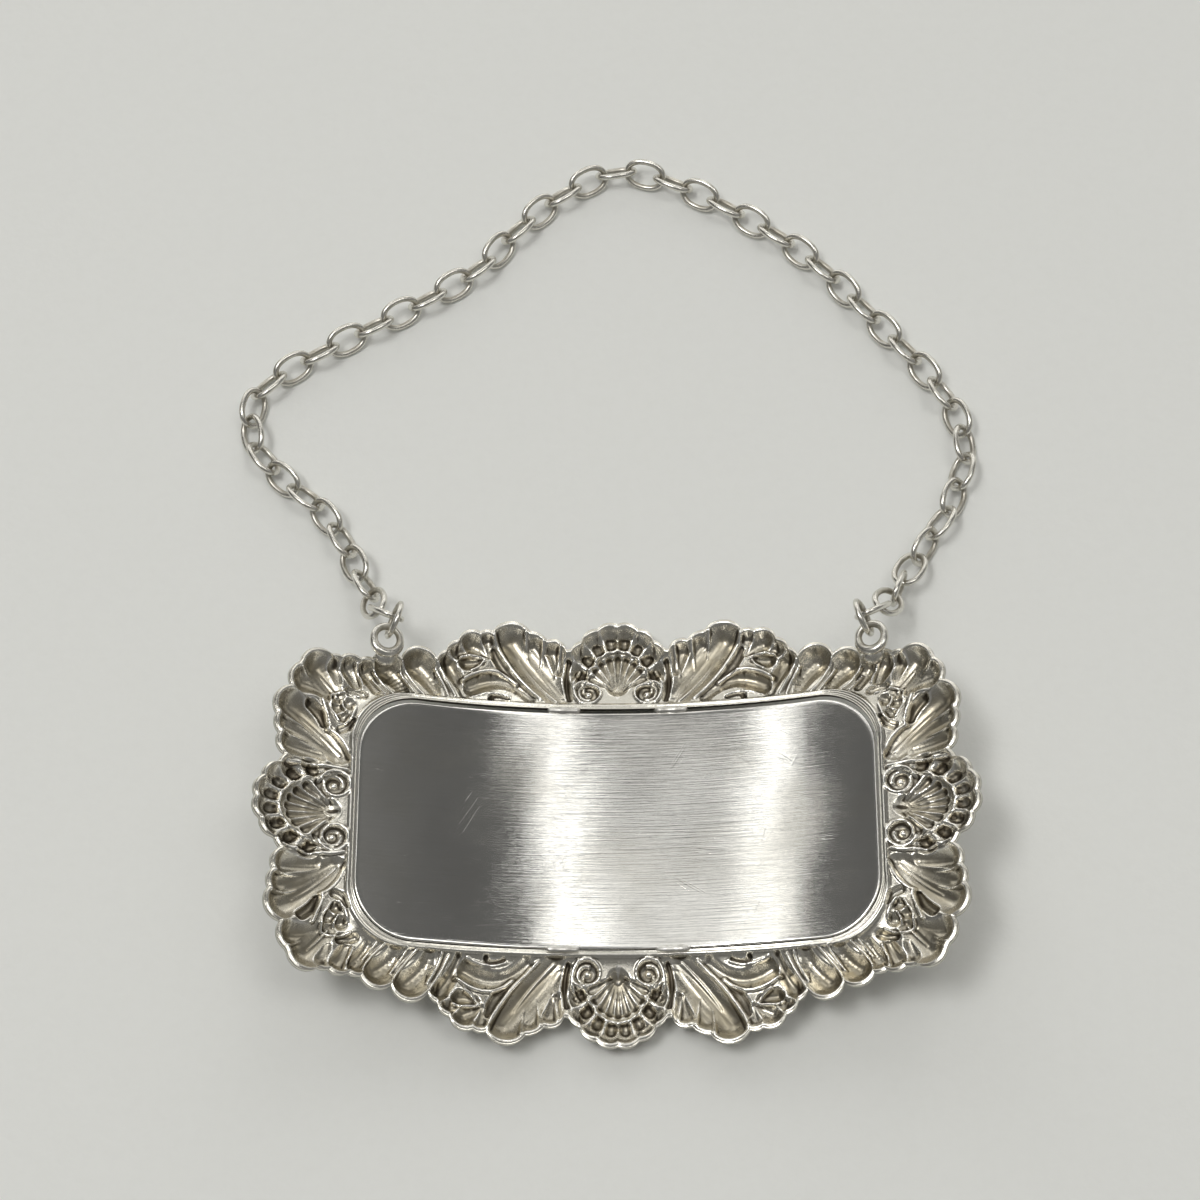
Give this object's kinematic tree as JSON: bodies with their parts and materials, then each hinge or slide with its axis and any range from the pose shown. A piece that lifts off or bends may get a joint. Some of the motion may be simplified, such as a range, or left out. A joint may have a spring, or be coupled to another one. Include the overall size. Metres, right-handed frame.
{
  "type": "wine label",
  "caption": "Bent metal label plate in a stamped shell-and-leaf border, hung from two eyelets on an oval-link chain that goes over a bottle neck.",
  "frame": {"origin": "centre of the plate's concave back face, where it meets the bottle", "axes": "+X along the plate's length, +Y from the label toward its chain, +Z out of the concave back; the part lies face down"},
  "size_m": [0.0639, 0.0831, 0.0103],
  "materials": {
    "stamped_silver": "worn silver, tarnished in the hollows",
    "brushed_silver": "satin silver with fine brushing and scratches",
    "drawn_wire": "polished silver wire, tarnished where links meet",
    "solder": "grey silver solder"
  },
  "bodies": {
    "label": {"border_frame": "stamped_silver", "name_plate": "brushed_silver", "solder_tacks": "solder", "left_eyelet": "drawn_wire", "right_eyelet": "drawn_wire"},
    "left_ring": {"left_ring": "drawn_wire"},
    "right_ring": {"right_ring": "drawn_wire"},
    "left_link_1": {"left_link_1": "drawn_wire"},
    "right_link_1": {"right_link_1": "drawn_wire"},
    "left_link_2": {"left_link_2": "drawn_wire"},
    "right_link_2": {"right_link_2": "drawn_wire"},
    "left_link_3": {"left_link_3": "drawn_wire"},
    "right_link_3": {"right_link_3": "drawn_wire"},
    "left_link_4": {"left_link_4": "drawn_wire"},
    "right_link_4": {"right_link_4": "drawn_wire"},
    "left_link_5": {"left_link_5": "drawn_wire"},
    "right_link_5": {"right_link_5": "drawn_wire"},
    "left_link_6": {"left_link_6": "drawn_wire"},
    "right_link_6": {"right_link_6": "drawn_wire"},
    "left_link_7": {"left_link_7": "drawn_wire"},
    "right_link_7": {"right_link_7": "drawn_wire"},
    "left_link_8": {"left_link_8": "drawn_wire"},
    "right_link_8": {"right_link_8": "drawn_wire"},
    "left_link_9": {"left_link_9": "drawn_wire"},
    "right_link_9": {"right_link_9": "drawn_wire"},
    "left_link_10": {"left_link_10": "drawn_wire"},
    "right_link_10": {"right_link_10": "drawn_wire"},
    "left_link_11": {"left_link_11": "drawn_wire"},
    "right_link_11": {"right_link_11": "drawn_wire"},
    "left_link_12": {"left_link_12": "drawn_wire"},
    "right_link_12": {"right_link_12": "drawn_wire"},
    "left_link_13": {"left_link_13": "drawn_wire"},
    "right_link_13": {"right_link_13": "drawn_wire"},
    "left_link_14": {"left_link_14": "drawn_wire"},
    "right_link_14": {"right_link_14": "drawn_wire"},
    "left_link_15": {"left_link_15": "drawn_wire"},
    "right_link_15": {"right_link_15": "drawn_wire"},
    "left_link_16": {"left_link_16": "drawn_wire"},
    "right_link_16": {"right_link_16": "drawn_wire"},
    "left_link_17": {"left_link_17": "drawn_wire"},
    "right_link_17": {"right_link_17": "drawn_wire"},
    "left_link_18": {"left_link_18": "drawn_wire"},
    "right_link_18": {"right_link_18": "drawn_wire"},
    "left_link_19": {"left_link_19": "drawn_wire"},
    "right_link_19": {"right_link_19": "drawn_wire"},
    "left_link_20": {"left_link_20": "drawn_wire"},
    "right_link_20": {"right_link_20": "drawn_wire"},
    "left_link_21": {"left_link_21": "drawn_wire"},
    "right_link_21": {"right_link_21": "drawn_wire"},
    "left_link_22": {"left_link_22": "drawn_wire"},
    "right_link_22": {"right_link_22": "drawn_wire"},
    "left_link_23": {"left_link_23": "drawn_wire"},
    "right_link_23": {"right_link_23": "drawn_wire"},
    "left_link_24": {"left_link_24": "drawn_wire"},
    "right_link_24": {"right_link_24": "drawn_wire"},
    "left_link_25": {"left_link_25": "drawn_wire"},
    "right_link_25": {"right_link_25": "drawn_wire"}
  },
  "joints": [
    {"name": "left_ring_swing", "type": "hinge", "parent": "label", "child": "left_ring", "pos_m": [-0.0186, 0.01628, 0.00368], "axis": [0.9997, -0.0128, 0.0197], "range_deg": [-45, 45]},
    {"name": "right_ring_swing", "type": "hinge", "parent": "label", "child": "right_ring", "pos_m": [0.02054, 0.01578, 0.00445], "axis": [0.9997, -0.0128, 0.0197], "range_deg": [-45, 45]},
    {"name": "left_link_1_bend", "type": "hinge", "parent": "left_ring", "child": "left_link_1", "pos_m": [-0.01837, 0.01741, 0.00341], "axis": [-0.9997, 0.0129, -0.0197], "range_deg": [-10, 10]},
    {"name": "right_link_1_bend", "type": "hinge", "parent": "right_ring", "child": "right_link_1", "pos_m": [0.02032, 0.01691, 0.00418], "axis": [-0.9997, 0.0129, -0.0197], "range_deg": [-10, 10]},
    {"name": "left_link_2_bend", "type": "hinge", "parent": "left_link_1", "child": "left_link_2", "pos_m": [-0.01999, 0.01876, 0.00173], "axis": [-0.9998, 0.0108, -0.0185], "range_deg": [-10, 10]},
    {"name": "right_link_2_bend", "type": "hinge", "parent": "right_link_1", "child": "right_link_2", "pos_m": [0.02192, 0.01831, 0.00251], "axis": [-0.9998, 0.0108, -0.0185], "range_deg": [-10, 10]},
    {"name": "left_link_3_bend", "type": "hinge", "parent": "left_link_2", "child": "left_link_3", "pos_m": [-0.02077, 0.02081, 0.0002], "axis": [-0.9997, 0.0185, -0.0146], "range_deg": [-10, 10]},
    {"name": "right_link_3_bend", "type": "hinge", "parent": "right_link_2", "child": "right_link_3", "pos_m": [0.02317, 0.02, 0.00084], "axis": [-0.9997, 0.0185, -0.0146], "range_deg": [-10, 10]},
    {"name": "left_link_4_bend", "type": "hinge", "parent": "left_link_3", "child": "left_link_4", "pos_m": [-0.02175, 0.02315, -0.00069], "axis": [-0.9998, 0.0214, -0.005], "range_deg": [-10, 10]},
    {"name": "right_link_4_bend", "type": "hinge", "parent": "right_link_3", "child": "right_link_4", "pos_m": [0.02402, 0.02217, -0.00047], "axis": [-0.9998, 0.0214, -0.005], "range_deg": [-10, 10]},
    {"name": "left_link_5_bend", "type": "hinge", "parent": "left_link_4", "child": "left_link_5", "pos_m": [-0.02292, 0.02554, -0.00112], "axis": [-0.9998, 0.0222, -0.0026], "range_deg": [-10, 10]},
    {"name": "right_link_5_bend", "type": "hinge", "parent": "right_link_4", "child": "right_link_5", "pos_m": [0.02532, 0.02447, -0.00099], "axis": [-0.9998, 0.0222, -0.0026], "range_deg": [-10, 10]},
    {"name": "left_link_6_bend", "type": "hinge", "parent": "left_link_5", "child": "left_link_6", "pos_m": [-0.02411, 0.02797, -0.00122], "axis": [-0.9997, 0.0244, -0.0009], "range_deg": [-10, 10]},
    {"name": "right_link_6_bend", "type": "hinge", "parent": "right_link_5", "child": "right_link_6", "pos_m": [0.02679, 0.02672, -0.00117], "axis": [-0.9997, 0.0244, -0.0009], "range_deg": [-10, 10]},
    {"name": "left_link_7_bend", "type": "hinge", "parent": "left_link_6", "child": "left_link_7", "pos_m": [-0.0258, 0.03005, -0.00125], "axis": [-0.9998, 0.019, -0.0004], "range_deg": [-10, 10]},
    {"name": "right_link_7_bend", "type": "hinge", "parent": "right_link_6", "child": "right_link_7", "pos_m": [0.02821, 0.02902, -0.00122], "axis": [-0.9998, 0.019, -0.0004], "range_deg": [-10, 10]},
    {"name": "left_link_8_bend", "type": "hinge", "parent": "left_link_7", "child": "left_link_8", "pos_m": [-0.02784, 0.03182, -0.00123], "axis": [-1, 0.0054, 0.0003], "range_deg": [-10, 10]},
    {"name": "right_link_8_bend", "type": "hinge", "parent": "right_link_7", "child": "right_link_8", "pos_m": [0.02925, 0.03151, -0.00125], "axis": [-1, 0.0054, 0.0003], "range_deg": [-10, 10]},
    {"name": "left_link_9_bend", "type": "hinge", "parent": "left_link_8", "child": "left_link_9", "pos_m": [-0.02984, 0.03363, -0.00123], "axis": [-1, -0.008, 0.0001], "range_deg": [-10, 10]},
    {"name": "right_link_9_bend", "type": "hinge", "parent": "right_link_8", "child": "right_link_9", "pos_m": [0.02998, 0.03411, -0.00124], "axis": [-1, -0.008, 0.0001], "range_deg": [-10, 10]},
    {"name": "left_link_10_bend", "type": "hinge", "parent": "left_link_9", "child": "left_link_10", "pos_m": [-0.03137, 0.03584, -0.00123], "axis": [-0.9999, -0.0154, 0], "range_deg": [-10, 10]},
    {"name": "right_link_10_bend", "type": "hinge", "parent": "right_link_9", "child": "right_link_10", "pos_m": [0.0299, 0.03679, -0.00123], "axis": [-0.9999, -0.0154, 0], "range_deg": [-10, 10]},
    {"name": "left_link_11_bend", "type": "hinge", "parent": "left_link_10", "child": "left_link_11", "pos_m": [-0.03203, 0.03843, -0.00123], "axis": [-0.9999, -0.0144, 0], "range_deg": [-10, 10]},
    {"name": "right_link_11_bend", "type": "hinge", "parent": "right_link_10", "child": "right_link_11", "pos_m": [0.02896, 0.03931, -0.00123], "axis": [-0.9999, -0.0144, 0], "range_deg": [-10, 10]},
    {"name": "left_link_12_bend", "type": "hinge", "parent": "left_link_11", "child": "left_link_12", "pos_m": [-0.03146, 0.04104, -0.00123], "axis": [-0.9999, -0.0105, 0], "range_deg": [-10, 10]},
    {"name": "right_link_12_bend", "type": "hinge", "parent": "right_link_11", "child": "right_link_12", "pos_m": [0.02763, 0.04166, -0.00123], "axis": [-0.9999, -0.0105, 0], "range_deg": [-10, 10]},
    {"name": "left_link_13_bend", "type": "hinge", "parent": "left_link_12", "child": "left_link_13", "pos_m": [-0.02955, 0.04292, -0.00123], "axis": [-0.9999, -0.0167, 0], "range_deg": [-10, 10]},
    {"name": "right_link_13_bend", "type": "hinge", "parent": "right_link_12", "child": "right_link_13", "pos_m": [0.02605, 0.04385, -0.00123], "axis": [-0.9999, -0.0167, 0], "range_deg": [-10, 10]},
    {"name": "left_link_14_bend", "type": "hinge", "parent": "left_link_13", "child": "left_link_14", "pos_m": [-0.02732, 0.04445, -0.00123], "axis": [-0.9996, -0.0289, 0], "range_deg": [-10, 10]},
    {"name": "right_link_14_bend", "type": "hinge", "parent": "right_link_13", "child": "right_link_14", "pos_m": [0.02435, 0.04594, -0.00123], "axis": [-0.9996, -0.0289, 0], "range_deg": [-10, 10]},
    {"name": "left_link_15_bend", "type": "hinge", "parent": "left_link_14", "child": "left_link_15", "pos_m": [-0.025, 0.04582, -0.00123], "axis": [-0.9989, -0.0461, 0], "range_deg": [-10, 10]},
    {"name": "right_link_15_bend", "type": "hinge", "parent": "right_link_14", "child": "right_link_15", "pos_m": [0.02262, 0.04802, -0.00123], "axis": [-0.9989, -0.0461, 0], "range_deg": [-10, 10]},
    {"name": "left_link_16_bend", "type": "hinge", "parent": "left_link_15", "child": "left_link_16", "pos_m": [-0.02266, 0.04717, -0.00123], "axis": [-0.9977, -0.0676, 0], "range_deg": [-10, 10]},
    {"name": "right_link_16_bend", "type": "hinge", "parent": "right_link_15", "child": "right_link_16", "pos_m": [0.02093, 0.05012, -0.00123], "axis": [-0.9977, -0.0676, 0], "range_deg": [-10, 10]},
    {"name": "left_link_17_bend", "type": "hinge", "parent": "left_link_16", "child": "left_link_17", "pos_m": [-0.0203, 0.04848, -0.00123], "axis": [-0.9956, -0.0937, 0], "range_deg": [-10, 10]},
    {"name": "right_link_17_bend", "type": "hinge", "parent": "right_link_16", "child": "right_link_17", "pos_m": [0.0192, 0.05219, -0.00123], "axis": [-0.9956, -0.0937, 0], "range_deg": [-10, 10]},
    {"name": "left_link_18_bend", "type": "hinge", "parent": "left_link_17", "child": "left_link_18", "pos_m": [-0.01796, 0.04983, -0.00123], "axis": [-0.9926, -0.1218, 0], "range_deg": [-10, 10]},
    {"name": "right_link_18_bend", "type": "hinge", "parent": "right_link_17", "child": "right_link_18", "pos_m": [0.01735, 0.05416, -0.00123], "axis": [-0.9926, -0.1218, 0], "range_deg": [-10, 10]},
    {"name": "left_link_19_bend", "type": "hinge", "parent": "left_link_18", "child": "left_link_19", "pos_m": [-0.01565, 0.05123, -0.00123], "axis": [-0.9886, -0.1503, 0], "range_deg": [-10, 10]},
    {"name": "right_link_19_bend", "type": "hinge", "parent": "right_link_18", "child": "right_link_19", "pos_m": [0.01532, 0.05594, -0.00123], "axis": [-0.9886, -0.1503, 0], "range_deg": [-10, 10]},
    {"name": "left_link_20_bend", "type": "hinge", "parent": "left_link_19", "child": "left_link_20", "pos_m": [-0.01339, 0.05271, -0.00123], "axis": [-0.9837, -0.1798, 0], "range_deg": [-10, 10]},
    {"name": "right_link_20_bend", "type": "hinge", "parent": "right_link_19", "child": "right_link_20", "pos_m": [0.01316, 0.05757, -0.00123], "axis": [-0.9837, -0.1798, 0], "range_deg": [-10, 10]},
    {"name": "left_link_21_bend", "type": "hinge", "parent": "left_link_20", "child": "left_link_21", "pos_m": [-0.01137, 0.05449, -0.00123], "axis": [-0.9794, -0.2018, 0], "range_deg": [-10, 10]},
    {"name": "right_link_21_bend", "type": "hinge", "parent": "right_link_20", "child": "right_link_21", "pos_m": [0.01093, 0.05908, -0.00123], "axis": [-0.9794, -0.2018, 0], "range_deg": [-10, 10]},
    {"name": "left_link_22_bend", "type": "hinge", "parent": "left_link_21", "child": "left_link_22", "pos_m": [-0.00976, 0.05666, -0.00123], "axis": [-0.9788, -0.2049, 0], "range_deg": [-10, 10]},
    {"name": "right_link_22_bend", "type": "hinge", "parent": "right_link_21", "child": "right_link_22", "pos_m": [0.00864, 0.06051, -0.00123], "axis": [-0.9788, -0.2049, 0], "range_deg": [-10, 10]},
    {"name": "left_link_23_bend", "type": "hinge", "parent": "left_link_22", "child": "left_link_23", "pos_m": [-0.00792, 0.05862, -0.00123], "axis": [-0.9756, -0.2196, 0], "range_deg": [-10, 10]},
    {"name": "right_link_23_bend", "type": "hinge", "parent": "right_link_22", "child": "right_link_23", "pos_m": [0.00628, 0.06182, -0.00123], "axis": [-0.9756, -0.2196, 0], "range_deg": [-10, 10]},
    {"name": "left_link_24_bend", "type": "hinge", "parent": "left_link_23", "child": "left_link_24", "pos_m": [-0.00595, 0.06048, -0.00123], "axis": [-0.9693, -0.2457, 0], "range_deg": [-10, 10]},
    {"name": "right_link_24_bend", "type": "hinge", "parent": "right_link_23", "child": "right_link_24", "pos_m": [0.00383, 0.06295, -0.00123], "axis": [-0.9693, -0.2457, 0], "range_deg": [-10, 10]},
    {"name": "left_link_25_bend", "type": "hinge", "parent": "left_link_24", "child": "left_link_25", "pos_m": [-0.00376, 0.06205, -0.00123], "axis": [-0.9471, -0.3209, 0], "range_deg": [-10, 10]},
    {"name": "right_link_25_bend", "type": "hinge", "parent": "right_link_24", "child": "right_link_25", "pos_m": [0.00126, 0.06375, -0.00123], "axis": [-0.9471, -0.3209, 0], "range_deg": [-10, 10]}
  ],
  "couplings": [
    {"joint": "right_ring_swing", "follows": "left_ring_swing", "ratio": 1},
    {"joint": "right_link_1_bend", "follows": "left_link_1_bend", "ratio": 1},
    {"joint": "right_link_2_bend", "follows": "left_link_2_bend", "ratio": 1},
    {"joint": "right_link_3_bend", "follows": "left_link_3_bend", "ratio": 1},
    {"joint": "right_link_4_bend", "follows": "left_link_4_bend", "ratio": 1},
    {"joint": "right_link_5_bend", "follows": "left_link_5_bend", "ratio": 1},
    {"joint": "right_link_6_bend", "follows": "left_link_6_bend", "ratio": 1},
    {"joint": "right_link_7_bend", "follows": "left_link_7_bend", "ratio": 1},
    {"joint": "right_link_8_bend", "follows": "left_link_8_bend", "ratio": 1},
    {"joint": "right_link_9_bend", "follows": "left_link_9_bend", "ratio": 1},
    {"joint": "right_link_10_bend", "follows": "left_link_10_bend", "ratio": 1},
    {"joint": "right_link_11_bend", "follows": "left_link_11_bend", "ratio": 1},
    {"joint": "right_link_12_bend", "follows": "left_link_12_bend", "ratio": 1},
    {"joint": "right_link_13_bend", "follows": "left_link_13_bend", "ratio": 1},
    {"joint": "right_link_14_bend", "follows": "left_link_14_bend", "ratio": 1},
    {"joint": "right_link_15_bend", "follows": "left_link_15_bend", "ratio": 1},
    {"joint": "right_link_16_bend", "follows": "left_link_16_bend", "ratio": 1},
    {"joint": "right_link_17_bend", "follows": "left_link_17_bend", "ratio": 1},
    {"joint": "right_link_18_bend", "follows": "left_link_18_bend", "ratio": 1},
    {"joint": "right_link_19_bend", "follows": "left_link_19_bend", "ratio": 1},
    {"joint": "right_link_20_bend", "follows": "left_link_20_bend", "ratio": 1},
    {"joint": "right_link_21_bend", "follows": "left_link_21_bend", "ratio": 1},
    {"joint": "right_link_22_bend", "follows": "left_link_22_bend", "ratio": 1},
    {"joint": "right_link_23_bend", "follows": "left_link_23_bend", "ratio": 1},
    {"joint": "right_link_24_bend", "follows": "left_link_24_bend", "ratio": 1},
    {"joint": "right_link_25_bend", "follows": "left_link_25_bend", "ratio": 1}
  ]
}
